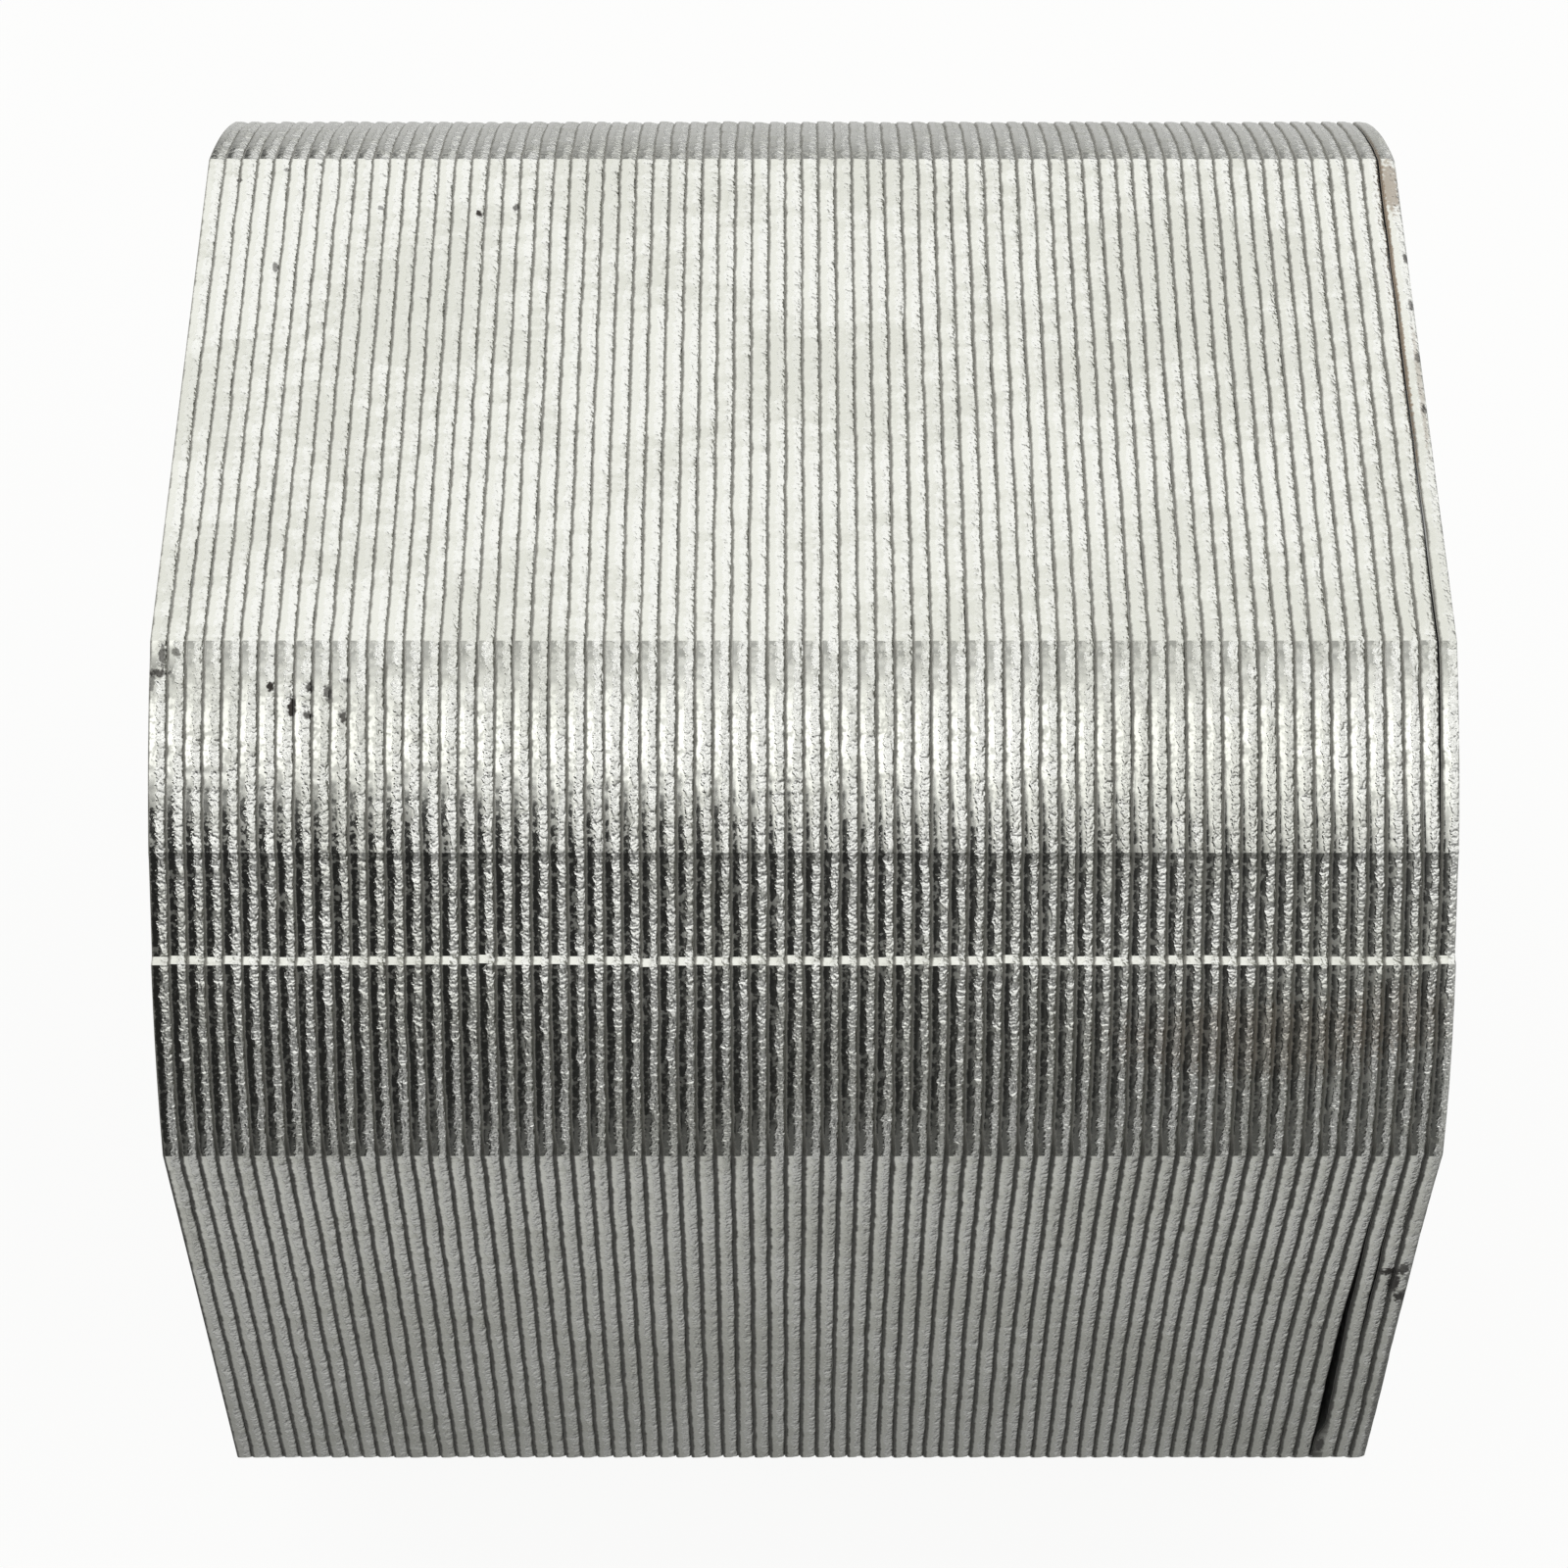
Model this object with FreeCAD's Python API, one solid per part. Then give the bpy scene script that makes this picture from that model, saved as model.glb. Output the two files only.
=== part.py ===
# Stator lamination stack of a small square motor: 72 identical punched sheets of
# electrical steel, bonded face to face by a thin film of varnish.
# Millimetres.  X runs along the stack, Z is up, and the stack lies on one of its four
# flats with the origin under its middle.
import FreeCAD
import Part
import math
import os

os.makedirs("parts", exist_ok=True)

# Sheets and the varnish film between two of them.
sheet_count = 72
sheet_thickness = 0.50
film_thickness = 0.035

# Punched outline: a square whose corners are rounded by one concentric circle.
across_flats = 42.0
corner_reach = 2.25  # how much further from the axis the circle runs than the flats
corner_steps = 2  # straight steps on each side of a corner's notch

# Notch at the middle of each corner: its floor leaves the circle at one lip, sinks
# steadily, and comes back out to the circle over a sloping shoulder at the other lip.
notch_width = 3.35
notch_depth = 0.21
shoulder_run = 0.20

# Parallel-sided teeth that point at the rotor, with an open slot between each two.
tooth_count = 6
tooth_width = 6.0
bore_diameter = 21.0  # across two opposite tooth tips
yoke_width = 3.8  # from a tooth's root to the nearest flat of the outline

# Files that the sheets are shared between.
file_count = 60

# Worked out from the sizes above.
sheet_pitch = sheet_thickness + film_thickness
stack_length = sheet_count * sheet_thickness + (sheet_count - 1) * film_thickness
half_flats = across_flats / 2
corner_radius = half_flats + corner_reach
bore_radius = bore_diameter / 2


def polar(radius, angle):
    # Across and up, with the angle in degrees from straight up towards the front.
    turn = math.radians(angle)
    return -radius * math.sin(turn), radius * math.cos(turn)


def steps(first, last, count):
    # Evenly spaced angles from first to last, both included.
    return [first + (last - first) * step / count for step in range(count + 1)]


def outline():
    # Outer contour, one corner after another from the top flat round by the front.
    flat_end = math.degrees(math.acos(half_flats / corner_radius))
    diagonal = 45.0
    notch_half = math.degrees(notch_width / 2 / corner_radius)
    shoulder = math.degrees(shoulder_run / corner_radius)
    first_lip = diagonal - notch_half
    last_lip = diagonal + notch_half
    points = []
    for quarter in range(4):
        start = 90.0 * quarter
        for angle in steps(flat_end, first_lip, corner_steps):
            points.append(polar(corner_radius, start + angle))
        points.append(polar(corner_radius - notch_depth, start + last_lip - shoulder))
        for angle in steps(last_lip, 90.0 - flat_end, corner_steps):
            points.append(polar(corner_radius, start + angle))
    return points


def opening():
    # Inner contour, one tooth after another: root, tip, tip, root.
    side = tooth_width / 2
    root_reach = math.sqrt((half_flats - yoke_width) ** 2 - side ** 2)
    root_radius = math.hypot(side, root_reach)
    root_turn = math.degrees(math.atan2(side, root_reach))
    tip_radius = math.hypot(side, bore_radius)
    tip_turn = math.degrees(math.atan2(side, bore_radius))
    points = []
    for tooth in range(tooth_count):
        centre = 360.0 * tooth / tooth_count
        points.append(polar(root_radius, centre - root_turn))
        points.append(polar(tip_radius, centre - tip_turn))
        points.append(polar(tip_radius, centre + tip_turn))
        points.append(polar(root_radius, centre + root_turn))
    return points


def closed_wire(points):
    vectors = [FreeCAD.Vector(0, across, half_flats + up) for across, up in points]
    return Part.makePolygon(vectors + vectors[:1])


def punched_sheet():
    # One sheet with its left face in the plane x = 0.
    face = Part.makeFace([closed_wire(outline()), closed_wire(opening())], "Part::FaceMakerBullseye")
    return face.extrude(FreeCAD.Vector(sheet_thickness, 0, 0))


def groups():
    # Sheet numbers of each file, shared out evenly: the files in the middle of the
    # stack hold the sheets that are left over.
    files = min(file_count, sheet_count)
    fewest, left_over = divmod(sheet_count, files)
    first_fuller = (files - left_over) // 2
    numbers = []
    first = 0
    for place in range(files):
        fuller = first_fuller <= place < first_fuller + left_over
        following = first + fewest + fuller
        numbers.append(range(first, following))
        first = following
    return numbers


sheet = punched_sheet()
for numbers in groups():
    placed = []
    for number in numbers:
        left = number * sheet_pitch - stack_length / 2
        placed.append(sheet.translated(FreeCAD.Vector(left, 0, 0)))
    shape = placed[0] if len(placed) == 1 else Part.makeCompound(placed)
    label = "_".join("%02d" % (number + 1) for number in numbers)
    shape.exportStep("parts/lamination_%s.step" % label)
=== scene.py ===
import math

import bpy
import numpy as np
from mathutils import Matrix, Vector
from mathutils.geometry import tessellate_polygon


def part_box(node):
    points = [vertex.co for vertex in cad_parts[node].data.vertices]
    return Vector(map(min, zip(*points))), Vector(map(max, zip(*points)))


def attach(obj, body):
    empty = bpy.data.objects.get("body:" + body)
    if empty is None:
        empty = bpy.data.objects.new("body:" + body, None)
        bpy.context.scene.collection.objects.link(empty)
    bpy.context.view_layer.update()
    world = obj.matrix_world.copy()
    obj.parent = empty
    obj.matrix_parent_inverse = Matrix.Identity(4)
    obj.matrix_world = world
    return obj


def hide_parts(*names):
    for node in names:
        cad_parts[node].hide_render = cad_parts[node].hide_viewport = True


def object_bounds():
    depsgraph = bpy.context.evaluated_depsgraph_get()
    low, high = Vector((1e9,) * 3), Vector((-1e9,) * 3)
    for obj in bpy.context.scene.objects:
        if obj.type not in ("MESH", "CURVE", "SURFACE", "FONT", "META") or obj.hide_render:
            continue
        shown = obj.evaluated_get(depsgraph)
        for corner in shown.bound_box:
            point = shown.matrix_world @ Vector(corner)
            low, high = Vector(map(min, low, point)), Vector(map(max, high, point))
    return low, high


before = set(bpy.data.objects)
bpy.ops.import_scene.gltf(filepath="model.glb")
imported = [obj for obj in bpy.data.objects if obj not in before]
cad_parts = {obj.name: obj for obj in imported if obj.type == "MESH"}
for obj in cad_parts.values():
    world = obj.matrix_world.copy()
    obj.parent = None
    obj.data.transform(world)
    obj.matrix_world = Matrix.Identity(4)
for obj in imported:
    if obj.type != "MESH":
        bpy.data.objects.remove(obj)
cadLow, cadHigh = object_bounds()
middle = (cadLow + cadHigh) / 2
halfFlats = (cadHigh.z - cadLow.z) / 2
laminations = sorted(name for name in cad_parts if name.startswith("lamination"))
sheetCount = sum(len(name.split("_")) - 1 for name in laminations)  # a node's name gives its sheets
mm = 0.001
perMetre = 1000.0  # millimetres, in which the surface patterns are measured
degree = math.pi / 180


class Wire:
    # one socket of a node tree, whose sums and products become Math nodes
    def __init__(self, paint, socket):
        self.paint = paint
        self.socket = socket

    def __add__(self, other):
        return self.paint.maths("ADD", self, other)

    __radd__ = __add__

    def __sub__(self, other):
        return self.paint.maths("SUBTRACT", self, other)

    def __rsub__(self, other):
        return self.paint.maths("SUBTRACT", other, self)

    def __mul__(self, other):
        return self.paint.maths("MULTIPLY", self, other)

    __rmul__ = __mul__

    def __abs__(self):
        return self.paint.maths("ABSOLUTE", self)


class Paint:
    # the node tree of a material or of the world
    def __init__(self, owner):
        owner.use_nodes = True
        self.owner = owner
        self.tree = owner.node_tree
        self.tree.nodes.clear()

    def node(self, kind, settings=None, sockets=None, output=0):
        made = self.tree.nodes.new("ShaderNode" + kind)
        for name, value in (settings or {}).items():
            setattr(made, name, value)
        for name, value in (sockets or {}).items():
            if isinstance(value, Wire):
                self.tree.links.new(value.socket, made.inputs[name])
            else:
                made.inputs[name].default_value = value
        return Wire(self, made.outputs[output]) if made.outputs else None

    def maths(self, operation, first, second=0.0):
        return self.node("Math", {"operation": operation}, {0: first, 1: second})

    def step(self, value, low, high, first=0.0, last=1.0):
        # first up to low, last from high on, and smooth between them
        settings = {"interpolation_type": "SMOOTHSTEP"}
        sockets = {"Value": value, "From Min": low, "From Max": high, "To Min": first, "To Max": last}
        return self.node("MapRange", settings, sockets)

    def ramp(self, value, stops):
        # a grey that eases from stop to stop, each a value and a brightness
        low, high = stops[0][0], stops[-1][0]
        share = self.node("MapRange", {}, {"Value": value, "From Min": low, "From Max": high})
        made = self.node("ValToRGB", {}, {0: share})
        band = made.socket.node.color_ramp
        band.interpolation = "EASE"
        for start, grey in stops[1:-1]:
            band.elements.new((start - low) / (high - low))
        for element, stop in zip(band.elements, stops):
            element.color = (stop[1], stop[1], stop[1], 1.0)
        return made

    def mix(self, first, second, share):
        # a colour over a colour
        return self.node("Mix", {"data_type": "RGBA"}, {0: share, 6: first, 7: second}, 2)

    def blend(self, first, second, share):
        # a number over a number
        return self.node("Mix", {"data_type": "FLOAT"}, {0: share, 2: first, 3: second})

    def place(self, scale=(1.0, 1.0, 1.0)):
        # the point on the object in millimetres, stretched
        sizes = [perMetre * value for value in scale]
        point = self.node("TexCoord", output=3)
        return self.node("VectorMath", {"operation": "MULTIPLY"}, {0: point, 1: sizes})

    def parts(self, vector):
        split = self.node("SeparateXYZ", {}, {0: vector})
        return [Wire(self, socket) for socket in split.socket.node.outputs]

    def join(self, x, y, z):
        return self.node("CombineXYZ", {}, {0: x, 1: y, 2: z})

    def noise(self, vector, grain):
        # grains to a millimetre, how many finer ones lie over them, and how strong those are
        scale, detail, roughness = grain
        sockets = {"Vector": vector, "Scale": scale, "Detail": detail, "Roughness": roughness}
        return self.node("TexNoise", {}, sockets)

    def stored(self, name):
        # a number kept at the corners of the mesh
        return self.node("Attribute", {"attribute_name": name}, output=2)

    def seen(self, *kinds):
        # 1 where the camera looks straight at the surface, or also by the kinds of ray named
        outputs = self.node("LightPath").socket.node.outputs
        total = Wire(self, outputs["Is Camera Ray"])
        for kind in kinds:
            total = total + Wire(self, outputs[kind])
        return total

    def finish(self, surface, kind="OutputMaterial"):
        self.node(kind, {}, {"Surface": surface})
        return self.owner


view = {
    "elevation": 53.68 * degree,  # above the horizon
    "distance": 138.0 * mm,  # from the middle of the stack
    "aside": 0.58 * mm,  # how far the stack stands right of the view's middle
    "below": 0.175 * mm,  # how far it stands below that
    "lens": 89.84,
    "film": 36.0,  # millimetres across the film behind that lens
    "nearest": 5.0 * mm,
}


def addCamera():
    made = bpy.data.cameras.new("camera")
    made.lens = view["lens"]
    made.sensor_width = view["film"]
    made.clip_start = view["nearest"]
    holder = bpy.data.objects.new("camera", made)
    bpy.context.scene.collection.objects.link(holder)
    rise = view["elevation"]
    towards = Vector((0, -math.cos(rise), math.sin(rise)))
    upward = Vector((0, math.sin(rise), math.cos(rise)))
    holder.location = middle + towards * view["distance"] + upward * view["below"]
    holder.location.x -= view["aside"]
    holder.rotation_euler = (math.pi / 2 - rise, 0, 0)
    bpy.context.scene.camera = holder


tent = {
    "bright": 1.57,  # the brightest stretch of the white cloth above, behind and at the sides
    # degrees above the front horizon, up and over to the back, and how bright the cloth is there
    "cloth": (
        (0.0, 0.20), (12.0, 0.25), (24.0, 0.41), (35.0, 0.53), (50.0, 0.758), (62.0, 1.0),
        (80.0, 0.26), (95.0, 0.758), (112.0, 0.758), (126.0, 0.71),
    ),
    "dark": 0.02,  # the opening in front
    "top": 54.5 * degree,  # height above the front horizon where the opening ends
    "fade": 4.0 * degree,
    "lower": (-2.0 * degree, 12.0 * degree, 10.0 * degree),  # from left to right it ends this much lower
    "side": (-75.0 * degree, 21.0 * degree),  # the left and right ends of the opening
    "sideFade": 9.0 * degree,
    "haze": (0.0, 40.0 * degree, 0.30),  # its dark grows paler: from where to where, and by how much
}


def addTent():
    paint = Paint(bpy.context.scene.world or bpy.data.worlds.new("tent"))
    bpy.context.scene.world = paint.owner
    x, y, z = paint.parts(paint.node("TexCoord"))
    turn = paint.maths("ARCTAN2", z, 0.0 - y)
    across = paint.maths("ARCSINE", x)
    lowerFrom, lowerTo, lower = tent["lower"]
    edge = paint.step(across, lowerFrom, lowerTo, tent["top"], tent["top"] - lower)
    under = paint.step(turn - edge, -tent["fade"], tent["fade"], 1.0, 0.0)
    left, right = tent["side"]
    fade = tent["sideFade"]
    pastLeft = paint.step(across, left - fade, left + fade)
    beforeRight = paint.step(across, right - fade, right + fade, 1.0, 0.0)
    hazeFrom, hazeTo, haze = tent["haze"]
    depth = paint.step(across, hazeFrom, hazeTo, tent["dark"], tent["dark"] + haze)
    cloth = paint.ramp(turn, [(height * degree, grey) for height, grey in tent["cloth"]])
    strength = paint.blend(cloth * tent["bright"], depth, under * pastLeft * beforeRight)
    strength = paint.blend(strength, 1.0, paint.seen())  # the backdrop itself is plain white
    white = (1.0, 1.0, 1.0, 1.0)
    paint.finish(paint.node("Background", {}, {"Color": white, "Strength": strength}), "OutputWorld")


paper = {
    "reach": 1.5,  # metres
    "below": 0.02 * mm,
    "colour": (0.985, 0.985, 0.98, 1.0),
    "glow": 0.94,  # share of it that looks evenly white
    "returned": 0.4,  # share of its brightness in the light that it throws back
    # painted shade on the paper, seen by the steel and in bounced light but not by the camera: darker in
    # front of the stack, where its shadow falls, and far behind; millimetres from the front to the back,
    # and how bright the steel sees it
    "paintedShades": (
        (-130.0, 0.11), (-55.0, 0.60), (-40.0, 0.60), (-27.0, 0.32), (-20.0, 0.32),
        (-16.0, 0.60), (62.0, 0.62), (400.0, 0.27),
    ),
    "left": (30.0, 65.0, 0.8),  # painted shade: towards the left it darkens, from where to where, and by what share
}


def addPaper():
    reach = paper["reach"]
    mesh = bpy.data.meshes.new("paper")
    corners = [(-reach, -reach, 0), (reach, -reach, 0), (reach, reach, 0), (-reach, reach, 0)]
    mesh.from_pydata(corners, [], [(0, 1, 2, 3)])
    floor = bpy.data.objects.new("paper", mesh)
    floor.location.z = cadLow.z - paper["below"]
    bpy.context.scene.collection.objects.link(floor)
    paint = Paint(bpy.data.materials.new("paper"))
    x, y, z = paint.parts(paint.place())
    start, end, darker = paper["left"]
    # painted shade on the paper for the steel's reflections and bounced light; the camera sees the plain
    # colour
    grey = paint.ramp(y, paper["paintedShades"]) * paint.step(x, -end, -start, 1.0 - darker, 1.0)
    straight = paint.seen()
    colour = paint.mix(grey, paper["colour"], straight)
    returned = paint.mix(grey * paper["returned"], paper["colour"], straight)
    glow = paint.maths("MINIMUM", paint.seen("Is Glossy Ray", "Is Transmission Ray"), 1.0) * paper["glow"]
    matt = paint.node("BsdfDiffuse", {}, {"Color": returned})
    even = paint.node("Emission", {}, {"Color": colour, "Strength": 1.0})
    mesh.materials.append(paint.finish(paint.node("MixShader", {}, {0: glow, 1: matt, 2: even})))


def polar(radius, angle):
    # across and up from the middle, the angle in degrees from the top towards the front
    turn = math.radians(angle)
    return np.array((-radius * math.sin(turn), radius * math.cos(turn)))


def line(first, last, count):
    # points from first up to, but without, last
    return [first + (last - first) * i / count for i in range(count)]


def arc(radius, first, last, count):
    return [polar(radius, first + (last - first) * i / count) for i in range(count)]


outline = {
    "corner": halfFlats + 2.25 * mm,  # radius of the rounded corners
    "notchHalf": 4.128,  # degrees from the middle of a notch to its lips
    "notchDepth": 0.21 * mm,
    "upperStep": (0.070 * mm, 0.55),  # depth, degrees
    "shoulder": 0.493,  # degrees
    "flatSteps": 46,
    "arcSteps": 14,
    "notchSteps": 8,
}


def outerLine():
    radius = outline["corner"]
    flatEnd = math.degrees(math.acos(halfFlats / radius))
    stepDepth, stepTurn = outline["upperStep"]
    points, shoulders = [], []
    for quarter in range(4):
        start = 90.0 * quarter
        firstLip = start + 45.0 - outline["notchHalf"]
        lastLip = start + 45.0 + outline["notchHalf"]
        points += line(polar(radius, start - flatEnd), polar(radius, start + flatEnd), outline["flatSteps"])
        points += arc(radius, start + flatEnd, firstLip, outline["arcSteps"])
        points.append(polar(radius, firstLip))
        floorStart = polar(radius - stepDepth, firstLip + stepTurn)
        floorEnd = polar(radius - outline["notchDepth"], lastLip - outline["shoulder"])
        points += line(floorStart, floorEnd, outline["notchSteps"])
        shoulders += [len(points), len(points) + 1]
        points.append(floorEnd)
        points += arc(radius, lastLip, start + 90.0 - flatEnd, outline["arcSteps"])
    return np.array(points), shoulders


teeth = {
    "count": 6,
    "width": 6.0 * mm,
    "bore": 10.5 * mm,
    "yoke": 3.8 * mm,
    "fillet": 0.6 * mm,
    "tipSteps": 8,
    "sideSteps": 3,
    "filletSteps": 3,
    "floorSteps": 3,
}


def rounded(before, corner, after, size, count):
    # points of a small round corner, from one side to the other
    first = corner + (before - corner) / np.linalg.norm(before - corner) * size
    last = corner + (after - corner) / np.linalg.norm(after - corner) * size
    shares = [i / count for i in range(count + 1)]
    return [first * (1 - s) ** 2 + corner * 2 * s * (1 - s) + last * s ** 2 for s in shares]


def innerLine():
    side = teeth["width"] / 2
    reach = math.sqrt((halfFlats - teeth["yoke"]) ** 2 - side ** 2)
    root = math.hypot(side, reach)
    rootTurn = math.degrees(math.atan2(side, reach))
    tipTurn = math.degrees(math.asin(side / teeth["bore"]))
    between = 360.0 / teeth["count"]
    points = []
    for tooth in range(teeth["count"]):
        centre = between * tooth
        tipOut = polar(teeth["bore"], centre + tipTurn)
        rootOut = polar(root, centre + rootTurn)
        following = centre + between
        rootNext = polar(root, following - rootTurn)
        tipNext = polar(teeth["bore"], following - tipTurn)
        points += arc(teeth["bore"], centre - tipTurn, centre + tipTurn, teeth["tipSteps"])
        outward = rounded(tipOut, rootOut, rootNext, teeth["fillet"], teeth["filletSteps"])
        inward = rounded(rootOut, rootNext, tipNext, teeth["fillet"], teeth["filletSteps"])
        points += line(tipOut, outward[0], teeth["sideSteps"]) + outward[:-1]
        points += line(outward[-1], inward[0], teeth["floorSteps"]) + inward[:-1]
        points += line(inward[-1], tipNext, teeth["sideSteps"])
    return np.array(points)


cut = {
    "filmDeep": 0.15,  # how far the varnish between two sheets lies below them, in shares of the thickness
    "filmFull": 0.97,  # share of the gap that it fills
    "roll": (0.17, 0.07),  # width and depth of the rounded left edge, in shares of the thickness
    "rollSteps": 5,
    "rollSpacing": 1.3,  # power by which its steps spread out
    "rollCurve": 2.2,  # power of its curve
    # the punched wall from left to right, then the torn stretch and its broken edge
    "wall": (
        (0.17, 0.0), (0.49, 0.004), (0.60, 0.016), (0.74, 0.038), (0.87, 0.062), (0.95, 0.09), (1.0, 0.14),
    ),
    "tornFrom": 0.42,
    "tornFull": 0.72,
    "tornDepth": 0.012 * mm,  # how uneven the torn stretch is
    "tornEven": 2,  # columns over which that evens out
    "wander": 0.009 * mm,  # how far the line between two sheets strays
    "wanderEven": 3,
    "shoulder": 0.022 * mm,  # how unevenly the sheets' shoulders line up
}


def cutRows(film):
    # place across the sheet and depth below its outline, both in shares of the thickness
    wide, deep = cut["roll"]
    rows = [(-film, cut["filmDeep"]), (0.0, cut["filmDeep"])] if film else []
    for i in range(cut["rollSteps"]):
        share = (i / cut["rollSteps"]) ** cut["rollSpacing"]
        rows.append((wide * share, deep * (1 - share) ** cut["rollCurve"]))
    return rows + list(cut["wall"])


def intoSheet(points, sign):
    # at each point of a closed line, the unit vector that points into the steel
    ahead = np.roll(points, -1, 0) - points
    behind = points - np.roll(points, 1, 0)
    ahead /= np.linalg.norm(ahead, axis=1)[:, None]
    behind /= np.linalg.norm(behind, axis=1)[:, None]
    along = ahead + behind
    along /= np.linalg.norm(along, axis=1)[:, None]
    return sign * np.stack([-along[:, 1], along[:, 0]], 1)


class Blank:
    # the sheet as punched, with its film of varnish, before it is bent, worn or placed
    def __init__(self, thickness, film):
        self.thickness = thickness
        self.corners, self.faces = [], []
        self.kinds = []  # of each face: 0 on a cut wall, 1 on a coated side
        self.across, self.inward, self.column, self.wall = [], [], [], []  # of each corner
        rows = cutRows(film / thickness)
        rings = []
        outer, self.shoulders = outerLine()
        for wall, (points, sign) in enumerate(((outer, 1), (innerLine(), -1))):
            rings.append(self.addWall(points, intoSheet(points, sign), rows, wall))
        self.counts = [count for first, count in rings]
        self.addCaps(rings, len(rows))
        self.corners = np.array(self.corners)
        self.inward = np.array(self.inward)
        self.across = np.array(self.across)
        self.column = np.array(self.column)
        self.wall = np.array(self.wall)

    def addWall(self, points, inward, rows, wall):
        first, count = len(self.corners), len(points)
        for share, deep in rows:
            for i in range(count):
                up, away = points[i] + inward[i] * deep * self.thickness, inward[i]
                self.corners.append((share * self.thickness, up[0], up[1]))
                self.inward.append((0.0, away[0], away[1]))
                self.across.append(share)
                self.column.append(i)
                self.wall.append(wall)
        for row in range(len(rows) - 1):
            for i in range(count):
                a = first + row * count + i
                b = first + row * count + (i + 1) % count
                quad = (a, b, b + count, a + count)
                self.faces.append(quad[::-1] if wall else quad)
                self.kinds.append(0)
        return first, count

    def addCaps(self, rings, rowCount):
        for row, outward in ((0, -1), (rowCount - 1, 1)):
            ids = [first + row * count + i for first, count in rings for i in range(count)]
            loops = []
            for first, count in rings:
                start = first + row * count
                loops.append([Vector((c[1], c[2], 0)) for c in self.corners[start:start + count]])
            flat = [corner for loop in loops for corner in loop]
            for a, b, c in tessellate_polygon(loops):
                area = (flat[b] - flat[a]).cross(flat[c] - flat[a]).z
                triangle = (ids[a], ids[b], ids[c])
                self.faces.append(triangle if area * outward > 0 else triangle[::-1])
                self.kinds.append(1)


stack = {
    "seed": 11,
    "inset": 0.016 * mm,  # the most that a sheet sits below its neighbours
    "least": 0.3,  # share of that by which every sheet does
    "shift": 0.008 * mm,
    "room": 0.7,  # share of its inset that a sheet may shift
}
bends = {
    "front": (0.2 * halfFlats, 0.9 * halfFlats),  # how far forward the bends begin and are full
    "pressed": (34, 68),  # sheets that are pressed together low at the front, beside the open wedge
    "closer": 0.0088 * mm,
    "pressedTop": 13.0 * mm,  # heights above the middle between which the pressing comes in
    "pressedFull": -3.0 * mm,
    "wedge": 70,  # first sheet to the right of the wedge
    "wedgeTop": 9.0 * mm,  # height where it begins
    "wedgeDeep": -7.4 * mm,  # height where it is widest
    "wedgeEnd": -8.6 * mm,  # and where a bent lip of the first sheet fills it
    "wedgeWide": 0.296 * mm,
    "lip": 0.23 * mm,  # how far the lip bends
    "lipWide": 0.15,  # share of the thickness that bends
    "lipFade": halfFlats / 3,  # height above the bottom over which the lip comes in
    "second": (4.0 * mm, 5.5 * mm, 0.075 * mm),  # the next gap: height, half height, how wide
    "lastGap": 0.055 * mm,  # between the last two sheets, along the top
    "lastFrom": 60,  # sheet from which on they draw together for it
    "lastHeights": (0.75 * halfFlats, 0.95 * halfFlats),  # where it begins and is full
}


def easy(value, start, full):
    # 0 at the start, 1 where it is full, and smooth between them
    share = np.clip((value - start) / (full - start), 0.0, 1.0)
    return share * share * (3 - 2 * share)


def pressing(y, z):
    # how much of the pressing there is at a point of a sheet
    return easy(z, bends["pressedTop"], bends["pressedFull"]) * easy(-y, *bends["front"])


def sideStep(number, y, z):
    # how far a sheet's point lies from its even place along the stack
    first, last = bends["pressed"]
    moved = -bends["closer"] * min(max(number - first, 0), last - first) * pressing(y, z)
    front = easy(-y, *bends["front"])
    if number >= bends["wedge"]:
        moved += easy(z, bends["wedgeTop"], bends["wedgeDeep"]) * front * bends["wedgeWide"]
    if number > bends["wedge"]:
        height, tall, wide = bends["second"]
        moved += np.exp(-((z - height) / tall) ** 2) * front * wide * pressing(y, z)
    if number < sheetCount:
        drawn = max(0, (number - bends["lastFrom"]) / (sheetCount - 1 - bends["lastFrom"]))
        moved -= easy(z, *bends["lastHeights"]) * bends["lastGap"] * drawn
    return moved


dents = (
    # sheets, angle from the top, radius and depth
    {"sheets": (71, 72), "angle": 82.4, "radius": 0.60 * mm, "depth": 0.20 * mm},
    {"sheets": (72, 72), "angle": 86.3, "radius": 0.40 * mm, "depth": 0.16 * mm},
    {"sheets": (1, 2), "angle": 26.9, "radius": 0.5 * mm, "depth": 0.05 * mm},
)


def smoothRandom(rng, count, width):
    values = rng.normal(size=count)
    kernel = np.ones(width) / width
    wrapped = np.concatenate([values[-width:], values, values[:width]])
    return np.convolve(wrapped, kernel, "same")[width:-width] * math.sqrt(width)


def roughen(corners, blank, edges, rng):
    # the torn stretch becomes uneven, and both edges follow the lines shared with the neighbours
    torn = np.clip((blank.across - cut["tornFrom"]) / (cut["tornFull"] - cut["tornFrom"]), 0.0, 1.0)
    share = np.clip(blank.across, 0.0, 1.0)
    for wall, count in enumerate(blank.counts):
        here = blank.wall == wall
        for level in np.unique(blank.across[here]):
            ring = here & (blank.across == level)
            rings = ring.sum() // count
            uneven = np.abs(smoothRandom(rng, count, cut["tornEven"])) * cut["tornDepth"]
            corners[ring] += blank.inward[ring] * (np.tile(uneven, rings) * torn[ring])[:, None]
            stray = edges[0][wall] * (1 - share[ring][0]) + edges[1][wall] * share[ring][0]
            corners[ring, 0] += np.tile(stray, rings)
    shoulder = (blank.wall == 0) & np.isin(blank.column, blank.shoulders)
    along = np.stack([blank.inward[:, 0], -blank.inward[:, 2], blank.inward[:, 1]], 1)
    corners[shoulder] += along[shoulder] * rng.normal() * cut["shoulder"]


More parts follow.
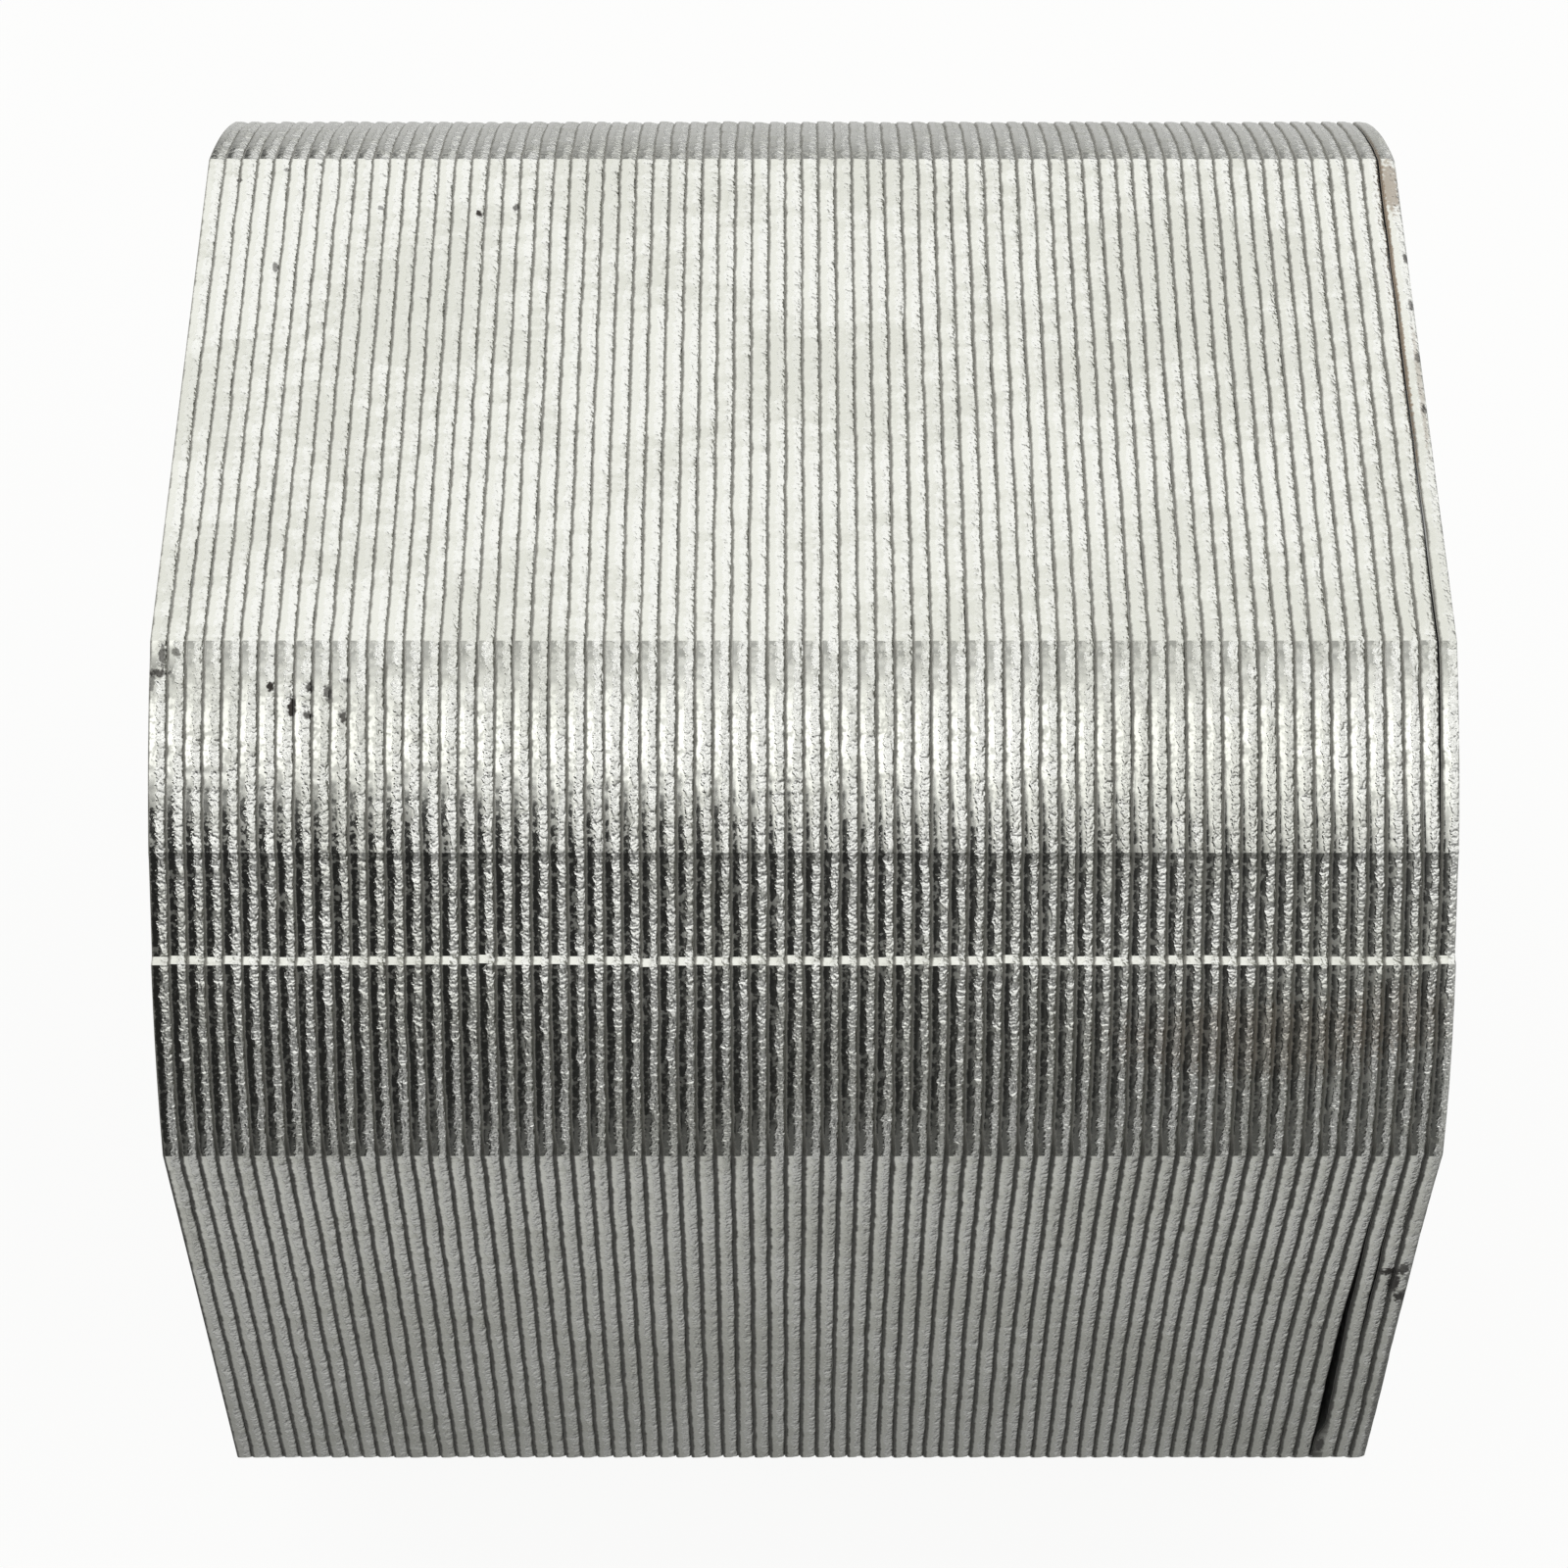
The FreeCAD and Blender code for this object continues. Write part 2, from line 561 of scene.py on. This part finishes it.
def bend(corners, number, blank, y, z):
    corners[:, 0] += sideStep(number, y, z)
    first, last = bends["pressed"]
    if first < number <= last:
        film = blank.across < 0
        corners[film, 0] += bends["closer"] * pressing(y[film], z[film])
    if number == bends["wedge"]:
        lip = (blank.wall == 0) & (blank.across < bends["lipWide"]) & (y < 0)
        filled = easy(z[lip], bends["wedgeDeep"], bends["wedgeEnd"])
        corners[lip, 0] -= filled * easy(z[lip], -halfFlats, bends["lipFade"] - halfFlats) * bends["lip"]


def dentSheet(corners, number, blank, y, z):
    for dent in dents:
        if dent["sheets"][0] <= number <= dent["sheets"][1]:
            where = polar(outline["corner"], dent["angle"])
            away = np.hypot(y - where[0], z - where[1]) / dent["radius"]
            depth = dent["depth"] * np.clip(1 - away ** 2, 0.0, 1.0) ** 2
            corners += blank.inward * (depth * (blank.wall == 0))[:, None]


def placeSheet(number, left, blank, edges, rng):
    # the corners of one sheet, between the lines that it shares with its neighbours
    corners = blank.corners.copy()
    corners[:, 0] += left
    y, z = corners[:, 1].copy(), corners[:, 2].copy()
    roughen(corners, blank, edges, rng)
    bend(corners, number, blank, y, z)
    dentSheet(corners, number, blank, y, z)
    inset = rng.uniform(stack["least"], 1.0) * stack["inset"]
    shift = rng.uniform(-1, 1, 2) * min(stack["shift"], inset * stack["room"])
    corners[:, 1] = corners[:, 1] * (1 - inset / halfFlats) + shift[0] + middle.y
    corners[:, 2] = corners[:, 2] * (1 - inset / halfFlats) + shift[1] + middle.z
    return corners


def addSheet(number, node, corners, template, seed, finishes):
    name = "sheet_%02d" % number
    spots = marksNear(corners[:, 0].min(), corners[:, 0].max())
    if spots not in finishes:
        finishes[spots] = cutSteel("marked_steel", spots)
    mesh = template.copy()
    mesh.name = name
    mesh.materials[0] = finishes[spots]
    mesh.vertices.foreach_set("co", corners.ravel())
    mesh.attributes["seed"].data.foreach_set("value", np.full(len(corners), seed))
    mesh.update()
    piece = bpy.data.objects.new(name, mesh)
    bpy.context.scene.collection.objects.link(piece)
    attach(piece, "root")
    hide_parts(node)


def addTemplate(blank, materials):
    mesh = bpy.data.meshes.new("blank")
    mesh.from_pydata(blank.corners.tolist(), [], blank.faces)
    for material in materials:
        mesh.materials.append(material)
    mesh.polygons.foreach_set("material_index", blank.kinds)
    mesh.polygons.foreach_set("use_smooth", [kind == 0 for kind in blank.kinds])
    across = mesh.attributes.new("across", "FLOAT", "POINT")
    across.data.foreach_set("value", blank.across)
    mesh.attributes.new("seed", "FLOAT", "POINT")
    markSharp(mesh, blank)
    return mesh


crease = {
    "along": math.cos(9.0 * degree),  # a corner of the outline
    "around": math.cos(50.0 * degree),  # a corner of the cut
}


def markSharp(mesh, blank):
    faces = {}
    for polygon in mesh.polygons:
        for key in polygon.edge_keys:
            faces.setdefault(key, []).append(polygon.normal)
    sharp = []
    for edge in mesh.edges:
        a, b = edge.vertices
        near = faces[edge.key]
        level = crease["around"] if blank.across[a] == blank.across[b] else crease["along"]
        sharp.append(near[0].dot(near[1]) < level)
    mark = mesh.attributes.new("sharp_edge", "BOOLEAN", "EDGE")
    mark.data.foreach_set("value", sharp)


steel = {
    "burnished": (0.76, 0.765, 0.705, 1.0),
    "dull": (0.62, 0.625, 0.56, 1.0),
    "dulled": 0.55,  # how far the dull patches go that way
    "torn": (0.82, 0.825, 0.785, 1.0),
    # grime, and painted shade in the gaps between the sheets, along both edges of each
    "grimeAndShade": (0.30, 0.295, 0.262, 1.0),
    "frontGrimeAndShade": (0.13, 0.128, 0.112, 1.0),  # darker on the front flat: more grime there, and painted shade
    "frontFlat": (20.5, 20.95),  # millimetres forward of the middle where that begins and is full
    "ragged": (1.9, 1.0, 0.6),  # the wavy run of the torn edge
    "grain": (6.5, 1.0, 0.7),
    "cloud": (0.2, 1.0, 0.65),  # large patches
    "spread": 61.0,  # keeps the patterns of any two sheets apart
    "slant": 0.5,  # how much the grain changes from the left edge to the right
    "tornAt": 0.50,  # share of the thickness where the torn stretch begins
    "tornMoved": (0.55, 0.45),  # how far the ragged noise and the grain move that
    "tornFade": 0.06,
    "waves": 13.0,  # micrometres
    "broken": 18.0,  # micrometres, on the torn stretch only
    "tilt": 115.0,  # micrometres that the torn stretch would fall over a whole thickness
    "farthestFromGaps": 0.55,  # share of the thickness that lies furthest from the grime and painted shade at both edges
    "grimeAndShadeMoved": (0.16, 0.14),
    "frontMore": 0.09,  # how much nearer the grime and painted shade come on the front flat
    "grimeAndShadeAt": (0.55, 0.70),  # where it begins and is full
    "dullMoved": (0.5, 0.35),
    "dullAt": (0.845, 1.085),
    "scuffedMoved": (0.4, 1.0),
    "scuffedAt": (0.68, 0.90),
    "smooth": 0.12,
    "rough": 0.26,
    "scuffed": 0.24,
    "grimeAndShadeFinish": (0.2, 0.7),  # how much rougher and how much less of a metal the grime and painted shade are
}


def cutSteel(name, spots):
    paint = Paint(bpy.data.materials.new(name))
    across = paint.stored("across")
    apart = paint.stored("seed") * steel["spread"]
    place = paint.place()
    x, y, z = paint.parts(place)
    ragged = paint.noise(paint.join(apart, y, z), steel["ragged"])
    grain = paint.noise(paint.join(apart + across * steel["slant"], y, z), steel["grain"])

    def moved(name):
        byRagged, byGrain = steel[name]
        return ragged * byRagged + grain * byGrain

    evenMove = sum(steel["tornMoved"]) / 2  # as both noises lie around a half
    past = across - moved("tornMoved") - (steel["tornAt"] - evenMove)
    torn = paint.step(past, -steel["tornFade"], steel["tornFade"])
    fall = paint.maths("MAXIMUM", past, 0.0) * steel["tilt"]
    height = ragged * steel["waves"] + torn * (grain + ragged) * steel["broken"] - fall
    normal = paint.node("Bump", {}, {"Strength": 1.0, "Distance": 0.001 * mm, "Height": height})
    # the front flat, and the share of grime and painted shade along both edges of each sheet, where the
    # gaps between sheets lie, with more of both on the front flat
    front = paint.step(0.0 - y, *steel["frontFlat"])
    nearEdge = abs(across - steel["farthestFromGaps"]) + moved("grimeAndShadeMoved") + front * steel["frontMore"]
    grimeAndShadeShare = paint.step(nearEdge, *steel["grimeAndShadeAt"])
    clouded = paint.noise(place, steel["cloud"]) + moved("dullMoved")
    dull = paint.step(clouded, *steel["dullAt"], 0.0, steel["dulled"])
    colour = paint.mix(steel["burnished"], steel["torn"], torn)
    colour = paint.mix(colour, steel["dull"], dull)
    grimeAndShade = paint.mix(steel["grimeAndShade"], steel["frontGrimeAndShade"], front)
    colour = paint.mix(colour, grimeAndShade, grimeAndShadeShare)
    colour = addMarks(paint, place, colour, spots)
    scuffed = paint.step(moved("scuffedMoved"), *steel["scuffedAt"], 0.0, steel["scuffed"])
    rougher, duller = steel["grimeAndShadeFinish"]
    roughness = torn * (steel["rough"] - steel["smooth"]) + steel["smooth"] + grimeAndShadeShare * rougher + scuffed
    metallic = 1.0 - grimeAndShadeShare * duller
    sockets = {"Base Color": colour, "Metallic": metallic, "Roughness": roughness, "Normal": normal}
    return paint.finish(paint.node("BsdfPrincipled", {}, sockets))


marks = {
    "colours": {
        "pit": (0.05, 0.045, 0.04, 1.0),
        "stain": (0.30, 0.235, 0.17, 1.0),
        # painted shade, for a darker reflection
        "shade": (0.26, 0.26, 0.24, 1.0),
    },
    "ragged": 0.8,  # how far a mark's edge strays, in shares of its size
    "grain": (8.0, 2.0, 0.5),
    "fade": (0.6, 1.1),  # shares of its size between which a mark fades out
    "reach": 1.5,  # how far it may show, in shares of its size
    # millimetres right of the middle, degrees from the top to the front, half width, half height, how dark
    "pit": (
        (-18.18, -23.2, 0.12, 0.13, 0.9),
        (-10.36, -19.7, 0.15, 0.16, 1.0),
        (-9.19, -20.4, 0.12, 0.18, 0.8),
        (-13.52, -20.3, 0.11, 0.13, 0.6),
        (-16.71, -13.8, 0.11, 0.28, 0.7),
        (-16.66, -24.4, 0.14, 0.12, 0.6),
        (-15.66, 28.8, 0.15, 0.16, 1.0),
        (-14.51, 28.8, 0.13, 0.20, 0.9),
        (-15.03, 30.3, 0.14, 0.36, 1.0),
        (-14.57, 30.9, 0.17, 0.13, 0.9),
        (-13.98, 29.3, 0.13, 0.30, 0.8),
        (-13.51, 31.0, 0.13, 0.20, 0.9),
        (-13.44, 28.4, 0.14, 0.12, 0.6),
        (-18.87, 26.6, 0.12, 0.40, 0.8),
        (-18.96, 27.8, 0.36, 0.13, 0.9),
        (-18.44, 26.3, 0.15, 0.14, 0.7),
        (-19.15, 28.6, 0.10, 0.30, 0.6),
        (18.50, 82.2, 0.42, 0.26, 1.0),
        (18.70, 84.0, 0.22, 0.66, 1.0),
        (19.05, 86.4, 0.28, 0.38, 1.0),
        (18.92, 81.6, 0.20, 0.44, 0.9),
        (19.18, -14.8, 0.10, 0.30, 0.8),
        (19.16, -9.6, 0.10, 0.26, 0.7),
        (19.18, -3.4, 0.12, 0.26, 0.7),
        (19.18, 2.3, 0.12, 0.20, 0.8),
        (17.60, 113.2, 0.16, 0.60, 0.9),
    ),
    "stain": (
        (13.4, 54.8, 4.6, 1.4, 0.35),
        (17.6, 53.0, 1.8, 1.2, 0.25),
        (18.98, -22.5, 0.30, 1.3, 0.7),
        (18.72, -12.0, 0.10, 9.0, 0.9),
        (19.12, 0.0, 0.10, 3.0, 0.4),
    ),
    # painted shade: a darker reflection down the right of the last sheet's front
    "shade": (
        (19.20, 100.0, 0.20, 9.5, 0.9),
    ),
}


def marksNear(low, high):
    # the marks that reach a sheet
    near = []
    for kind in ("shade", "stain", "pit"):
        for mark in marks[kind]:
            reach = mark[2] * marks["reach"]
            if mark[0] + reach > low * perMetre and mark[0] - reach < high * perMetre:
                near.append((kind, mark))
    return tuple(near)


def addMarks(paint, place, colour, spots):
    # pits, stains and rust, and painted shade down the last sheet's front, each where it is on this stack
    if not spots:
        return colour
    ragged = (paint.noise(place, marks["grain"]) - 0.5) * (marks["ragged"] * 2.0)
    for kind, (x, turn, wide, tall, dark) in spots:
        share = spot(paint, place, ragged, (x, turn), (wide, tall)) * dark
        colour = paint.mix(colour, marks["colours"][kind], share)
    return colour


def spot(paint, place, ragged, at, size):
    # 1 inside an oval on the outline, 0 outside
    x, turn = at
    slant = math.radians((turn + 45.0) % 90.0 - 45.0)
    y, z = polar(min(outline["corner"], halfFlats / math.cos(slant)), turn)
    centre = (x, y * perMetre, (z + middle.z) * perMetre)
    away = paint.node("VectorMath", {"operation": "SUBTRACT"}, {0: place, 1: centre})
    shares = (1.0 / size[0], 1.0 / size[1], 1.0 / size[1])
    away = paint.node("VectorMath", {"operation": "MULTIPLY"}, {0: away, 1: shares})
    reach = paint.node("VectorMath", {"operation": "LENGTH"}, {0: away}, 1)
    return paint.step(reach + ragged, *marks["fade"], 1.0, 0.0)


coating = {
    "colour": (0.36, 0.365, 0.36, 1.0),
    "pale": (0.46, 0.465, 0.45, 1.0),
    "cloud": (0.35, 4.0, 0.6),
    "paleAt": (0.35, 0.68),
    "grain": (2.2, 3.0, 0.5),
    "rolled": (1.0, 0.25, 3.0),  # the grain is drawn out the way the sheet was rolled
    "metal": 0.85,
    "roughness": 0.42,
    "uneven": 0.2,  # how much that varies
    "relief": 5.0,  # micrometres
}


def coatedSteel():
    paint = Paint(bpy.data.materials.new("coated_steel"))
    cloud = paint.step(paint.noise(paint.place(), coating["cloud"]), *coating["paleAt"])
    grain = paint.noise(paint.place(coating["rolled"]), coating["grain"])
    colour = paint.mix(coating["colour"], coating["pale"], cloud)
    roughness = (grain - 0.5) * coating["uneven"] + coating["roughness"]
    relief = grain * coating["relief"]
    normal = paint.node("Bump", {}, {"Strength": 1.0, "Distance": 0.001 * mm, "Height": relief})
    sockets = {
        "Base Color": colour, "Metallic": coating["metal"], "Roughness": roughness, "Normal": normal,
    }
    return paint.finish(paint.node("BsdfPrincipled", {}, sockets))


def addStack():
    firstLow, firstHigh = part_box(laminations[0])
    thickness = firstHigh.x - firstLow.x
    film = (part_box(laminations[1])[0].x - firstHigh.x) * cut["filmFull"]
    materials = [cutSteel("cut_steel", ()), coatedSteel()]
    finishes = {(): materials[0]}
    bare, coated = Blank(thickness, 0.0), Blank(thickness, film)
    templates = {blank: addTemplate(blank, materials) for blank in (bare, coated)}
    rng = np.random.default_rng(stack["seed"])
    still = [np.zeros(count) for count in coated.counts]
    edges = [still, still]
    for node in laminations:
        low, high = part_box(node)
        numbers = [int(text) for text in node.split("_")[1:]]
        for number in numbers:
            left = low.x if number == numbers[0] else high.x - thickness
            blank = bare if number == 1 else coated
            even = cut["wanderEven"]
            following = [smoothRandom(rng, count, even) * cut["wander"] for count in blank.counts]
            edges = [edges[1], still if number == sheetCount else following]
            corners = placeSheet(number, left, blank, edges, rng)
            addSheet(number, node, corners, templates[blank], rng.uniform(0, 1), finishes)
    for template in templates.values():
        bpy.data.meshes.remove(template)


bpy.context.scene.view_settings.view_transform = "Standard"
addCamera()
addTent()
addPaper()
print("camera, tent and paper are up")
addStack()
print("sheets are stacked")
